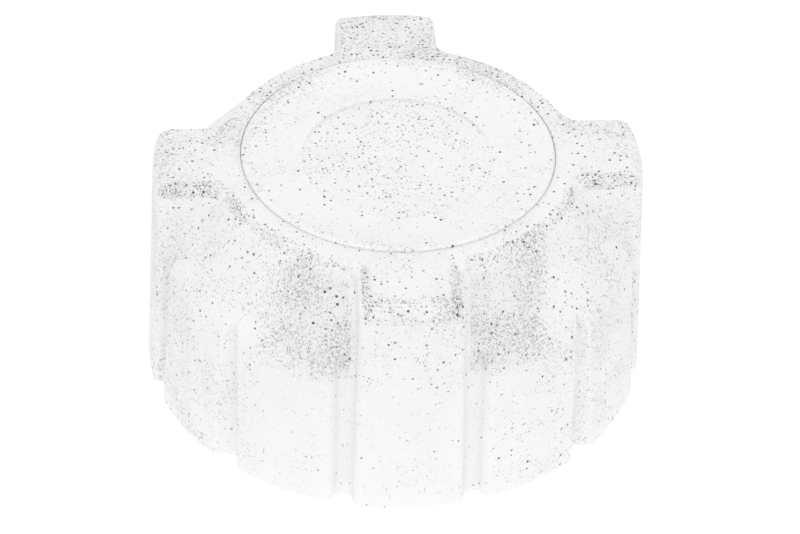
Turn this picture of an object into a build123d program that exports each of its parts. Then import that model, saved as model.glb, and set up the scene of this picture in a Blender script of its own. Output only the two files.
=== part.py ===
from build123d import *
import math
import os

# Screw cap for a coolant expansion tank, in millimetres.
# The origin is the centre of the skirt's bottom edge and +Z runs up the cap's axis.
# Every radius below is measured from that axis, every height from that bottom edge.

# Grip shell, outside
skirt_draft = 2.5  # degrees, outer face of the panels
lug_draft = 1.9  # degrees, outer face of the lugs
lug_side_draft = 0.8  # degrees, side walls of the lugs
lug_width = 14.7  # at the bottom edge
lug_nose = 2.4  # rounding of a lug's top outer edge
lug_root = 2.6  # hollow in plan where a lug's side wall runs into the crown rim
foot_round = 0.8  # hollow where a lug or the crown rim runs into the skirt
edge_round = 1.1  # lug corners and crown rim
shoulder_run = 9.7  # from the skirt's bottom radius in to the crown rim
shoulder_angle = 50.0  # degrees, shoulder against the horizontal
rim_overlap = 0.1  # the shoulder meets the crown rim's rounding this much above its lower end
shoulder_round = 4.0  # rounding between shoulder and panels
skin_lead = 0.04  # the shoulder's rounding starts this much outside the panels
groove_depth = 1.8
groove_round = 0.5  # foot and upper end of the grooves
lug_groove = 2.15  # groove between a lug and the panel beside it
mid_groove = 3.28  # groove between two panels, from corner to corner
panel_near_round = 1.5  # panel corner beside a lug
panel_far_round = 0.8  # panel corner at the middle groove
gate_radius = 1.2  # round gate mark low on the front lug
gate_depth = 0.15
gate_height = 4.6
sharp_margin = 0.12  # an edge this near a surface counts as lying on it
edge_touch = 0.005
sharp_angle = 8.0  # degrees between two faces from which their edge is rounded

# Grip shell, inside
wall = 2.0
thread_start = 1.8
thread_length = 8.0
thread_lead = 0.8  # chamfer below the thread wall
relief_depth = 0.4  # thread wall inside the plain wall above it
sleeve_inset = 1.0  # bottom edge of the thread sleeve above the skirt's
sleeve_wall = 2.3
inset_margin = 0.4  # the sleeve's bottom edge is cut this far into the pockets
pocket_depth = 2.7  # cored gap between sleeve and skirt
pocket_draft = 1.0  # degrees
lug_roof = 2.9  # solid left above a lug's pocket
crown_thickness = 2.0
crown_gap = 0.7  # air between the insert's hub and the crown
hook_count = 6
hook_angle = 24.0  # degrees that each hook spans
hook_grip = 0.5  # how far a hook reaches under the insert's flange
hook_height = 2.2
hook_land = 0.55  # upright tip of a hook
bearing_width = 1.6
bearing_count = 6
bearing_angle = 46.0  # degrees that each rib spans

# Crown disc
crown_rim = 3.1  # flat of the crown rim, from its side to the disc's recess
disc_seat_gap = 0.15
disc_proud = 0.3  # rim of the disc above the shell's crown rim
disc_rim = 0.6  # width of the disc's flat rim
disc_rim_chamfer = 0.25
disc_floor = 1.0  # thickness of the middle panel
disc_panel_radius = 12.7
disc_panel_step = 0.3
disc_dish_depth = 1.0  # fall of the dished ring from the rim to the middle panel
dish_bend_run = 0.42  # part of the ring's width at which the dish has its bend
dish_bend_fall = 0.72  # part of its depth there

# Valve insert
swivel_play = 0.15  # axial play of the insert in the shell
swivel_gap = 0.4  # radial gap between hub and bearing ribs
insert_lift = 0.5  # insert's lowest face above the thread wall
barrel_radius = 20.5  # enters the tank neck
barrel_chamfer = 0.8
flange_gap = 2.0  # from the flange to the shell's relief wall
flange_thickness = 2.2
groove_wall = 1.7  # wall left behind the O-ring groove
hub_wall = 1.4
hub_height = 2.0  # hub above the flange
hub_roof = 1.8
ledge_width = 0.8  # step from the valve chamber to the seat ring's bore
vent_count = 8
vent_radius = 1.1
vent_margin = 2.0  # from the chamber's wall to the vents' circle
spigot_room = 1.2  # round the vacuum valve's clip
spigot_length = 1.5
slip_thickness = 0.4
slip_width = 2.2
slip_gap = 0.2

# Seals on the insert
neck_ring_section = 1.6  # radius of the O-ring's section
neck_ring_drop = 6.0  # middle of the O-ring below the flange
neck_ring_proud = 0.8  # how far it stands out of the barrel
neck_ring_room = 0.8  # groove width beyond the ring's section
ring_clearance = 0.02
gasket_thickness = 1.6
gasket_width = 3.8
gasket_gap = 0.3  # to the barrel and to the hooks
gasket_bead = 0.3

# Guard and seat ring
guard_thickness = 1.0
guard_rim_height = 1.4
guard_rim_width = 1.8
guard_fit = 0.15
guard_bead = 0.5  # snap bead beyond the rim
guard_bead_bottom = 0.5
guard_bead_height = 0.5
guard_slots = 10
guard_slot_width = 2.0
guard_slot_inner = 4.5
seat_fit = 0.2
seat_width = 5.2  # from the chamber's wall in to the seat ring's bore
seat_thickness = 2.7
seat_lip_inset = 0.8  # lip's inner edge from the seat ring's bore
seat_lip_width = 0.8
seat_lip_height = 0.9
seat_ring_section = 0.78
seat_ring_depth = 1.4
seat_ring_width = 1.8

# Pressure valve
plate_gap = 1.4  # between the plate and the chamber
plate_thickness = 1.5
plate_skirt_width = 0.8
plate_skirt_drop = 1.1
guide_gap = 0.3  # between the plate's guide ribs and the chamber
guide_width = 2.4
guide_count = 4
guide_rise = 1.2
seal_thickness = 1.4
seal_gap = 0.2  # between the seal's edge and the plate's skirt
washer_gap = 1.6  # between the washer and the seat ring's bore
washer_width = 2.35
washer_thickness = 0.5
washer_fit = 0.05
valve_boss_drop = 1.8  # boss below the plate
pilot_height = 2.0
pilot_recess_margin = 0.3  # round the ports
pilot_recess_floor = 0.8  # material left of the plate under the recess
port_count = 4
port_radius = 0.8
port_circle = 3.9
stem_hole_fit = 0.08

# Main spring
spring_inset = 4.0  # middle of the wire from the plate's edge
spring_wire = 0.8  # radius of the wire
spring_turns = 3.0
spring_length = 8.6
spring_clearance = 0.4  # to the spigots inside it

# Vacuum valve
stem_radius = 1.3
vacuum_seal_inset = 1.3  # seal's edge from the boss's edge
vacuum_disc_margin = 0.3  # disc beyond the seal
vacuum_disc_thickness = 0.8
vacuum_seal_thickness = 0.9
vacuum_spring_gap = 0.93  # from the stem to the wire
vacuum_spring_wire = 0.22
vacuum_spring_turns = 5.0
vacuum_spring_length = 4.2
clip_width = 2.1
clip_thickness = 0.6
clip_fit = 0.03
stem_head_width = 0.45
stem_head_height = 0.6

# Radii that follow from the sizes above
gasket_inner = barrel_radius + gasket_gap
gasket_outer = gasket_inner + gasket_width
flange_radius = gasket_outer + gasket_gap + hook_grip
relief_radius = flange_radius + flange_gap
thread_radius = relief_radius - relief_depth  # wall that carries the screw thread
base_radius = thread_radius + sleeve_wall + pocket_depth + wall
crown_radius = base_radius - shoulder_run
disc_radius = crown_radius - crown_rim - disc_seat_gap
groove_root = barrel_radius + neck_ring_proud - 2 * neck_ring_section
chamber_radius = groove_root - groove_wall
hub_radius = chamber_radius + hub_wall
seat_bore_radius = chamber_radius + ledge_width
seat_bore = chamber_radius - seat_width
seat_root = seat_bore_radius - seat_fit - seat_ring_depth
plate_radius = chamber_radius - plate_gap
seal_radius = plate_radius - plate_skirt_width - seal_gap
spring_radius = plate_radius - spring_inset
pilot_radius = spring_radius - spring_wire - spring_clearance
washer_radius = seat_bore - washer_gap
boss_radius = washer_radius - washer_width - washer_fit
vacuum_seal_radius = boss_radius - vacuum_seal_inset
clip_radius = stem_radius + clip_width

# Heights that follow, from the thread up to the crown
insert_bottom = thread_start + thread_length + insert_lift
seat_bottom = insert_bottom + guard_rim_height
ledge = seat_bottom + seat_thickness
lip_top = ledge + seat_lip_height
plate_bottom = lip_top + seal_thickness
plate_top = plate_bottom + plate_thickness
boss_bottom = plate_bottom - valve_boss_drop
recess_level = plate_bottom + pilot_recess_floor
clip_bottom = recess_level + vacuum_spring_length
chamber_top = plate_top + spring_length
hub_top = chamber_top + hub_roof
flange_top = hub_top - hub_height
flange_bottom = flange_top - flange_thickness
hook_top = flange_bottom - swivel_play
rib_bottom = flange_top + slip_thickness + swivel_play
neck_ring_height = flange_bottom - neck_ring_drop
crown_inside = hub_top + crown_gap
recess_floor = crown_inside + crown_thickness
panel_level = recess_floor + disc_floor
dish_end = panel_level + disc_panel_step
disc_top = dish_end + disc_dish_depth
shell_height = disc_top - disc_proud
shoulder_start = shell_height - edge_round + rim_overlap


def skirt_radius(height):
    return base_radius - height * math.tan(math.radians(skirt_draft))


def lug_radius(height):
    return base_radius - height * math.tan(math.radians(lug_draft))


def shoulder_height(radius):
    slope = math.tan(math.radians(shoulder_angle))
    return shoulder_start - (radius - crown_radius) * slope


def below_shoulder(radius):
    """Height at which a full wall is left between a hollow of this radius and the shoulder."""
    return shoulder_height(radius) - wall / math.cos(math.radians(shoulder_angle))


def turned(*corners):
    return revolve(Plane.XZ * make_face(Polyline(*corners, close=True)), Axis.Z)


def ring(inner, outer, bottom, top):
    return turned((inner, bottom), (outer, bottom), (outer, top), (inner, top))


def corner_near(sketch, x, y):
    return sketch.vertices().sort_by_distance((x, y, 0))[0]


def spaced(shape, count, first=0.0):
    return [Rot(0, 0, first + 360 * i / count) * shape for i in range(count)]


def sector(inner, outer, bottom, top, angle):
    outline = Plane.XZ * make_face(
        Polyline((inner, bottom), (outer, bottom), (outer, top), (inner, top), close=True)
    )
    return Rot(0, 0, -angle / 2) * revolve(outline, Axis.Z, angle)


def coil(radius, wire, turns, bottom, top):
    """Compression spring with its two ends ground flat."""
    pitch = (top - bottom) / turns
    path = Helix(pitch, top - bottom + pitch / 2, radius)
    start = Plane(origin=path @ 0, z_dir=path % 0)
    wound = Pos(0, 0, bottom - pitch / 4) * sweep(start * Circle(wire), path, is_frenet=True)
    return wound & Pos(0, 0, bottom) * Cylinder(
        radius + 2 * wire, top - bottom, align=(Align.CENTER, Align.CENTER, Align.MIN)
    )


def panel_walls():
    """Distances of a panel's two walls from the middle plane of the lug beside it."""
    return lug_width / 2 + lug_groove, (base_radius * math.sqrt(2) - mid_groove) / 2


def panel_section(height):
    edge = skirt_radius(height)
    panel_near, panel_far = panel_walls()
    span = panel_far - panel_near
    block = Pos((panel_near + panel_far) / 2, -edge) * Rectangle(span, edge)
    section = Circle(edge) & block
    for x, radius in ((panel_near, panel_near_round), (panel_far, panel_far_round)):
        y = -math.sqrt(edge**2 - x**2)
        section = fillet(corner_near(section, x, y), radius)
    return Pos(0, 0, height) * section


def skirt_body():
    """Core at the depth of the grooves, eight panels on it, and the sloping shoulder."""
    rise = shoulder_start
    core = turned(
        (0, 0),
        (base_radius - groove_depth, 0),
        (skirt_radius(rise) - groove_depth, rise),
        (0, rise),
    )
    panel = loft([panel_section(0), panel_section(rise)], ruled=True)
    pair = [panel, mirror(panel, Plane.YZ)]
    body = core + [Rot(0, 0, 90 * i) * p for i in range(4) for p in pair]

    draft = math.tan(math.radians(skirt_draft))
    slope = math.tan(math.radians(shoulder_angle))
    out = base_radius + skin_lead
    corner_z = (shoulder_start - (out - crown_radius) * slope) / (1 - draft * slope)
    corner_r = out - corner_z * draft
    outline = make_face(
        Polyline(
            (0, -1),
            (out + draft, -1),
            (corner_r, corner_z),
            (crown_radius, shoulder_start),
            (0, shoulder_start),
            close=True,
        )
    )
    outline = fillet(corner_near(outline, corner_r, corner_z), shoulder_round)
    body = body & revolve(Plane.XZ * outline, Axis.Z)
    return fillet(sharp_edges(body, is_groove_edge), groove_round)


def is_groove_edge(edge):
    """False on the edges at the skirt's two ends."""
    return sharp_margin < edge.bounding_box().max.Z < shoulder_start - sharp_margin


def sharp_edges(body, is_wanted):
    faces = body.faces()
    chosen = []
    for edge in filter(is_wanted, body.edges()):
        sides = [f for f in faces if any(e.is_same(edge) for e in f.edges())]
        first, second = [f.normal_at(edge @ 0.5) for f in sides]
        if first.get_angle(second) > sharp_angle:
            chosen.append(edge)
    return chosen


def crown_and_lugs():
    """Crown rim and the four full-height lugs, as one star-shaped block."""
    draft = math.tan(math.radians(lug_side_draft))
    rim = crown_radius + shell_height * draft
    star = Circle(rim) + Rectangle(lug_width, 3 * base_radius) + Rectangle(
        3 * base_radius, lug_width
    )
    half = lug_width / 2
    reach = math.sqrt(rim**2 - half**2)
    for x, y in ((half, reach), (reach, half)):
        for sx, sy in ((1, 1), (1, -1), (-1, 1), (-1, -1)):
            star = fillet(corner_near(star, sx * x, sy * y), lug_root)
    block = extrude(star, shell_height + 1, taper=lug_side_draft)

    outline = make_face(
        Polyline(
            (0, 0),
            (base_radius, 0),
            (lug_radius(shell_height), shell_height),
            (0, shell_height),
            close=True,
        )
    )
    nose = corner_near(outline, lug_radius(shell_height), shell_height)
    outline = fillet(nose, lug_nose)
    block = block & revolve(Plane.XZ * outline, Axis.Z)
    sharp = [e for e in block.edges() if is_outline_edge(e)]
    return fillet(sharp, edge_round)


def is_outline_edge(edge):
    """True on the edges that run up a lug's corners and round the crown rim."""
    box = edge.bounding_box()
    at_top = box.min.Z > shell_height - 0.01
    upright = box.size.Z > 0.5
    middle = edge @ 0.5
    far = math.hypot(middle.X, middle.Y) > lug_radius(shell_height) - 3 * lug_nose
    return at_top and on_side(middle) or upright and far


def on_side(point):
    """False on the arcs across the end of a lug."""
    across = min(abs(point.X), abs(point.Y))
    return across > lug_width / 4


def hollow_of_shell():
    """Everything taken out of the shell along its axis: mouth, thread wall, relief and cavity."""
    thread_end = thread_start + thread_length
    slope = math.tan(math.radians(shoulder_angle))
    bend = below_shoulder(relief_radius)
    ceiling = relief_radius - (crown_inside - bend) / slope
    mouth = thread_radius + thread_lead
    sleeve = thread_radius + sleeve_wall + inset_margin
    cavity = turned(
        (0, -1),
        (sleeve, -1),
        (sleeve, sleeve_inset),
        (mouth, sleeve_inset),
        (thread_radius, thread_start),
        (thread_radius, thread_end),
        (relief_radius, thread_end + relief_depth),
        (relief_radius, bend),
        (ceiling, crown_inside),
        (0, crown_inside),
    )
    seat = Pos(0, 0, recess_floor) * Cylinder(
        disc_radius + disc_seat_gap, shell_height, align=(Align.CENTER, Align.CENTER, Align.MIN)
    )
    return [cavity, seat]


def pockets():
    """Cored pockets behind the panels and lugs, open at the bottom edge."""
    inner = thread_radius + sleeve_wall
    outer = base_radius - wall
    band = Circle(outer) - Circle(inner)
    near, far = panel_walls()
    near, far = near + wall, far - wall
    panel_plan = band & Pos((near + far) / 2, -outer) * Rectangle(far - near, outer)
    panel_pocket = extrude(panel_plan, below_shoulder(outer), taper=pocket_draft)
    lug_plan = band & Pos(0, -outer) * Rectangle(lug_width - 2 * wall, outer)
    lug_pocket = extrude(lug_plan, shell_height - lug_roof, taper=pocket_draft)
    pair = [panel_pocket, mirror(panel_pocket, Plane.YZ), lug_pocket]
    return [Rot(0, 0, 90 * i) * p for i in range(4) for p in pair]


def snap_hooks():
    """Hooks that hold the insert's flange up, sloped below so that it can be pushed in."""
    root = relief_radius + wall / 2
    tip = flange_radius - hook_grip
    outline = Plane.XZ * make_face(
        Polyline(
            (root, hook_top),
            (tip, hook_top),
            (tip, hook_top - hook_land),
            (root, hook_top - hook_height),
            close=True,
        )
    )
    hook = Rot(0, 0, -hook_angle / 2) * revolve(outline, Axis.Z, hook_angle)
    return spaced(hook, hook_count, 90 / hook_count)


def bearing_ribs():
    inner = hub_radius + swivel_gap
    rib = sector(
        inner, inner + bearing_width, rib_bottom, crown_inside + wall / 2, bearing_angle
    )
    return spaced(rib, bearing_count)


def is_foot_edge(edge):
    """True where a lug's side wall or the crown rim meets the skirt and its shoulder."""
    middle = edge @ 0.5
    radius = math.hypot(middle.X, middle.Y)
    across = min(abs(middle.X), abs(middle.Y))
    side = lug_width / 2 - middle.Z * math.tan(math.radians(lug_side_draft))
    on_lug = abs(across - side) < sharp_margin and radius < lug_radius(middle.Z) - edge_round
    on_shoulder = abs(middle.Z - shoulder_height(radius)) < sharp_margin
    by_rim = on_shoulder and radius < crown_radius + lug_root
    return sharp_margin < middle.Z < shoulder_start - edge_touch and (on_lug or by_rim)


def gate_mark():
    face = lug_radius(gate_height)
    tilt = Rot(90 + lug_draft, 0, 0)
    return Pos(0, -face, gate_height) * tilt * Cylinder(gate_radius, 2 * gate_depth)


def grip_shell():
    body = skirt_body() + crown_and_lugs()
    body = fillet(sharp_edges(body, is_foot_edge), foot_round)
    body = body - hollow_of_shell() - pockets()
    body = body + snap_hooks() + bearing_ribs()
    return body - gate_mark()


def top_disc():
    """Dished disc with a narrow flat rim, seated in the crown's recess."""
    rim_inside = disc_radius - disc_rim_chamfer - disc_rim
    span = rim_inside - disc_panel_radius - disc_panel_step
    outline = Polyline(
        (0, panel_level),
        (0, recess_floor),
        (disc_radius, recess_floor),
        (disc_radius, disc_top - disc_rim_chamfer),
        (disc_radius - disc_rim_chamfer, disc_top),
        (rim_inside, disc_top),
    )
    dish = ThreePointArc(
        (rim_inside, disc_top),
        (rim_inside - span * dish_bend_run, disc_top - disc_dish_depth * dish_bend_fall),
        (disc_panel_radius + disc_panel_step, dish_end),
    )
    step = Polyline(
        (disc_panel_radius + disc_panel_step, dish_end),
        (disc_panel_radius, panel_level),
        (0, panel_level),
    )
    return revolve(Plane.XZ * make_face(outline + dish + step), Axis.Z)


def valve_housing():
    wall_foot = insert_bottom + barrel_chamfer
    low = neck_ring_height - neck_ring_section - neck_ring_room / 2
    high = neck_ring_height + neck_ring_section + neck_ring_room / 2
    bead_low = insert_bottom + guard_bead_bottom - guard_fit / 2
    bead_high = bead_low + guard_bead_height + guard_fit
    bead_r = seat_bore_radius + guard_bead
    spigot_bottom = chamber_top - spigot_length
    body = turned(
        (0, chamber_top),
        (clip_radius + spigot_room, chamber_top),
        (clip_radius + spigot_room, spigot_bottom),
        (pilot_radius, spigot_bottom),
        (pilot_radius, chamber_top),
        (chamber_radius, chamber_top),
        (chamber_radius, ledge),
        (seat_bore_radius, ledge),
        (seat_bore_radius, bead_high),
        (bead_r, bead_high),
        (bead_r, bead_low),
        (seat_bore_radius, bead_low),
        (seat_bore_radius, insert_bottom),
        (barrel_radius - barrel_chamfer, insert_bottom),
        (barrel_radius, wall_foot),
        (barrel_radius, low),
        (groove_root, low),
        (groove_root, high),
        (barrel_radius, high),
        (barrel_radius, flange_bottom),
        (flange_radius, flange_bottom),
        (flange_radius, flange_top),
        (hub_radius, flange_top),
        (hub_radius, hub_top),
        (0, hub_top),
    )
    vent = Pos(chamber_radius - vent_margin, 0, hub_top) * Cylinder(vent_radius, 3 * hub_roof)
    return body - spaced(vent, vent_count)


def slip_washer():
    inner = hub_radius + slip_gap
    return ring(inner, inner + slip_width, flange_top, flange_top + slip_thickness)


def o_ring(root, section, height):
    middle = root + section + ring_clearance
    return Pos(0, 0, height) * Torus(middle, section)


def neck_gasket():
    top = flange_bottom
    bottom = top - gasket_thickness
    middle = (gasket_inner + gasket_outer) / 2
    body = ring(gasket_inner, gasket_outer, bottom + gasket_bead, top)
    bead = turned(
        (middle - 3 * gasket_bead, bottom + gasket_bead),
        (middle - gasket_bead, bottom),
        (middle + gasket_bead, bottom),
        (middle + 3 * gasket_bead, bottom + gasket_bead),
    )
    return body + bead


def bottom_guard():
    """Slotted disc snapped into the insert's mouth, which keeps the seat ring in place."""
    outer = seat_bore_radius - guard_fit
    inner = outer - guard_rim_width
    floor = insert_bottom + guard_thickness
    bead = insert_bottom + guard_bead_bottom
    bead_r = outer + guard_bead
    body = turned(
        (0, insert_bottom),
        (outer, insert_bottom),
        (outer, bead),
        (bead_r, bead),
        (bead_r, bead + guard_bead_height),
        (outer, bead + guard_bead_height),
        (outer, seat_bottom),
        (inner, seat_bottom),
        (inner, floor),
        (0, floor),
    )
    length = seat_bore - guard_slot_inner
    plan = Pos(guard_slot_inner + length / 2, 0) * SlotOverall(length, guard_slot_width)
    slot = extrude(plan, seat_bottom)
    return body - spaced(Pos(0, 0, insert_bottom - 1) * slot, guard_slots)


def seat_ring():
    outer = seat_bore_radius - seat_fit
    middle = (seat_bottom + ledge) / 2
    lip_in = seat_bore + seat_lip_inset
    return turned(
        (seat_bore, seat_bottom),
        (outer, seat_bottom),
        (outer, middle - seat_ring_width / 2),
        (seat_root, middle - seat_ring_width / 2),
        (seat_root, middle + seat_ring_width / 2),
        (outer, middle + seat_ring_width / 2),
        (outer, ledge),
        (lip_in + 2 * seat_lip_width, ledge),
        (lip_in + seat_lip_width, lip_top),
        (lip_in, lip_top),
        (seat_bore, ledge),
    )


def pressure_plate():
    """Valve plate with its guide ribs, spring pilot and the boss that carries the seal."""
    inner = port_circle + port_radius + pilot_recess_margin
    hole = stem_radius + stem_hole_fit
    skirt = plate_radius - plate_skirt_width
    body = turned(
        (hole, boss_bottom),
        (boss_radius, boss_bottom),
        (boss_radius, plate_bottom),
        (skirt, plate_bottom),
        (skirt, plate_bottom - plate_skirt_drop),
        (plate_radius, plate_bottom - plate_skirt_drop),
        (plate_radius, plate_top),
        (pilot_radius, plate_top),
        (pilot_radius, plate_top + pilot_height),
        (inner, plate_top + pilot_height),
        (inner, recess_level),
        (hole, recess_level),
    )
    reach = chamber_radius - guide_gap
    rib_height = plate_thickness + guide_rise
    root = plate_radius - plate_skirt_width
    rib = Pos(root, 0, plate_bottom) * Box(
        plate_gap + plate_skirt_width,
        guide_width,
        rib_height,
        align=(Align.MIN, Align.CENTER, Align.MIN),
    )
    rib = rib & ring(root, reach, plate_bottom, plate_bottom + rib_height)
    ribs = spaced(rib, guide_count, 45)
    port = Pos(port_circle, 0, plate_bottom) * Cylinder(port_radius, 4 * valve_boss_drop)
    return body + ribs - spaced(port, port_count)


def pressure_seal():
    return ring(boss_radius + washer_fit, seal_radius, lip_top, plate_bottom)


def seal_washer():
    return ring(boss_radius + washer_fit, washer_radius, lip_top - washer_thickness, lip_top)


def vacuum_stem():
    seal_bottom = boss_bottom - vacuum_seal_thickness
    disc_bottom = seal_bottom - vacuum_disc_thickness
    clip_top = clip_bottom + clip_thickness
    disc_edge = vacuum_seal_radius + vacuum_disc_margin
    return turned(
        (0, disc_bottom),
        (disc_edge, disc_bottom),
        (disc_edge, seal_bottom),
        (stem_radius, seal_bottom),
        (stem_radius, clip_top),
        (stem_radius + stem_head_width, clip_top),
        (stem_radius, clip_top + stem_head_height),
        (0, clip_top + stem_head_height),
    )


def vacuum_seal():
    return ring(
        stem_radius + clip_fit,
        vacuum_seal_radius,
        boss_bottom - vacuum_seal_thickness,
        boss_bottom,
    )


def vacuum_clip():
    return ring(stem_radius + clip_fit, clip_radius, clip_bottom, clip_bottom + clip_thickness)


def build():
    seat_middle = (seat_bottom + ledge) / 2
    return {
        "grip_shell": grip_shell(),
        "top_disc": top_disc(),
        "valve_housing": valve_housing(),
        "slip_washer": slip_washer(),
        "neck_o_ring": o_ring(groove_root, neck_ring_section, neck_ring_height),
        "neck_gasket": neck_gasket(),
        "bottom_guard": bottom_guard(),
        "seat_ring": seat_ring(),
        "seat_o_ring": o_ring(seat_root, seat_ring_section, seat_middle),
        "pressure_plate": pressure_plate(),
        "pressure_seal": pressure_seal(),
        "seal_washer": seal_washer(),
        "main_spring": coil(spring_radius, spring_wire, spring_turns, plate_top, chamber_top),
        "vacuum_stem": vacuum_stem(),
        "vacuum_seal": vacuum_seal(),
        "vacuum_spring": coil(
            stem_radius + vacuum_spring_gap + vacuum_spring_wire,
            vacuum_spring_wire,
            vacuum_spring_turns,
            recess_level,
            clip_bottom,
        ),
        "vacuum_clip": vacuum_clip(),
    }


os.makedirs("parts", exist_ok=True)
for name, solid in build().items():
    export_step(solid, f"parts/{name}.step")
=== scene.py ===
import math

import bmesh
import bpy
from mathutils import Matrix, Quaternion, Vector


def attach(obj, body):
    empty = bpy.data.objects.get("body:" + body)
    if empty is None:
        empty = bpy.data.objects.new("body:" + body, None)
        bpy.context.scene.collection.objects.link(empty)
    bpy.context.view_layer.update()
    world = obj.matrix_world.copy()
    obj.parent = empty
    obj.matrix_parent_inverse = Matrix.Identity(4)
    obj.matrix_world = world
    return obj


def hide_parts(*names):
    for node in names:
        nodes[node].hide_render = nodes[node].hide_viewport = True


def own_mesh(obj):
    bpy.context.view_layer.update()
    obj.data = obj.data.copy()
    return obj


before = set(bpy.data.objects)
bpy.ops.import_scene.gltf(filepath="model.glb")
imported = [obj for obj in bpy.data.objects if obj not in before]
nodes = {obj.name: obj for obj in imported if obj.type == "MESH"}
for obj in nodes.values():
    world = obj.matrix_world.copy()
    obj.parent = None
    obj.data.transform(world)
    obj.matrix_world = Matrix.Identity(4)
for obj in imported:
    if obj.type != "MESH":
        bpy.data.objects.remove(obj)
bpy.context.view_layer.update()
mm = 0.001
joinReach = 1e-7  # metres, points nearer than this are one
print("frame loaded:", len(nodes), "pieces")


# Node helpers

number, place3, count = "NodeSocketFloat", "NodeSocketVector", "NodeSocketInt"
colour4, paint, form = "NodeSocketColor", "NodeSocketMaterial", "NodeSocketGeometry"


def addNode(tree, kind, values=None, **settings):
    node = tree.nodes.new(kind)
    for name, value in settings.items():
        setattr(node, name, value)
    for name, value in (values or {}).items():
        setInput(tree, node.inputs[name], value)
    return node


def setInput(tree, socket, value):
    if isinstance(value, bpy.types.NodeSocket):
        tree.links.new(value, socket)
    else:
        socket.default_value = value


def math1(tree, operation, first, second=0.0, third=0.0, clamp=False):
    node = addNode(tree, "ShaderNodeMath", operation=operation, use_clamp=clamp)
    for socket, value in zip(node.inputs, (first, second, third)):
        setInput(tree, socket, value)
    return node.outputs[0]


def multiplyAll(tree, *factors):
    product = factors[0]
    for factor in factors[1:]:
        product = math1(tree, "MULTIPLY", product, factor)
    return product


def scaled(tree, vector, factor):
    node = addNode(tree, "ShaderNodeVectorMath", {"Vector": vector, "Scale": factor},
                   operation="SCALE")
    return node.outputs[0]


def stretched(tree, vector, factors):
    node = addNode(tree, "ShaderNodeVectorMath", operation="MULTIPLY")
    setInput(tree, node.inputs[0], vector)
    setInput(tree, node.inputs[1], factors)
    return node.outputs[0]


def joined(tree, x=0.0, y=0.0, z=0.0):
    return addNode(tree, "ShaderNodeCombineXYZ", {"X": x, "Y": y, "Z": z}).outputs[0]


def separated(tree, vector):
    parts = addNode(tree, "ShaderNodeSeparateXYZ", {"Vector": vector}).outputs
    return parts["X"], parts["Y"], parts["Z"]


def flatLength(tree, x, y):
    node = addNode(tree, "ShaderNodeVectorMath", {"Vector": joined(tree, x, y)},
                   operation="LENGTH")
    return node.outputs["Value"]


def mapRange(tree, value, low, high, toLow=0.0, toHigh=1.0, smooth=True):
    node = addNode(tree, "ShaderNodeMapRange",
                   interpolation_type="SMOOTHSTEP" if smooth else "LINEAR")
    for name, given in (("Value", value), ("From Min", low), ("From Max", high),
                        ("To Min", toLow), ("To Max", toHigh)):
        setInput(tree, node.inputs[name], given)
    return node.outputs["Result"]


def fadeOut(tree, value, low, high):
    return mapRange(tree, value, low, high, 1.0, 0.0)


def band(tree, value, low, lowEnd, highStart, high):
    return multiplyAll(tree, mapRange(tree, value, low, lowEnd),
                       fadeOut(tree, value, highStart, high))


def noise(tree, values, **settings):
    return addNode(tree, "ShaderNodeTexNoise", values, **settings).outputs["Fac"]


def mixColour(tree, share, first, second):
    node = addNode(tree, "ShaderNodeMix", data_type="RGBA")
    factor, colourA, colourB = node.inputs[0], node.inputs[6], node.inputs[7]
    for socket, value in ((factor, share), (colourA, first), (colourB, second)):
        setInput(tree, socket, (*value, 1) if isinstance(value, tuple) else value)
    return node.outputs[2]


def newGroup(name, kind, inputs, outputs):
    tree = bpy.data.node_groups.new(name, kind)
    for label, socketType, value in inputs:
        socket = tree.interface.new_socket(label, in_out="INPUT", socket_type=socketType)
        if value is not None:
            socket.default_value = value
    for label, socketType in outputs:
        tree.interface.new_socket(label, in_out="OUTPUT", socket_type=socketType)
    given = tree.nodes.new("NodeGroupInput").outputs
    result = tree.nodes.new("NodeGroupOutput").inputs
    return tree, given, result


def useGroup(tree, group, values):
    node = tree.nodes.new("ShaderNodeGroup")
    node.node_tree = group
    for name, value in values.items():
        setInput(tree, node.inputs[name], value)
    return node.outputs


# Shared effects

grainLook = {
    "fine": {"Detail": 2.0, "Roughness": 0.6},
    "broad": {"Detail": 4.0, "Roughness": 0.55},
    "mottleContrast": (0.34, 0.66),
}


def makeMouldedGrain():
    tree, given, result = newGroup(
        "mouldedGrain", "ShaderNodeTree",
        [("Vector", place3, None), ("Grain Scale", number, 2600.0),
         ("Mottle Scale", number, 140.0)],
        [("Height", number), ("Mottle", number)])
    fine = noise(tree, {"Vector": given["Vector"], "Scale": given["Grain Scale"],
                        **grainLook["fine"]})
    broad = noise(tree, {"Vector": given["Vector"], "Scale": given["Mottle Scale"],
                         **grainLook["broad"]})
    tree.links.new(fine, result["Height"])
    tree.links.new(mapRange(tree, broad, *grainLook["mottleContrast"]), result["Mottle"])
    return tree


speckLook = {
    "smallest": 0.6,  # share of Size
    "spread": 0.5,  # added to that for the largest dot
    "core": 0.65,  # share of a dot that is at full strength
    "paleBias": 1.6,  # above 1, more of the dots are faint
}


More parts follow.
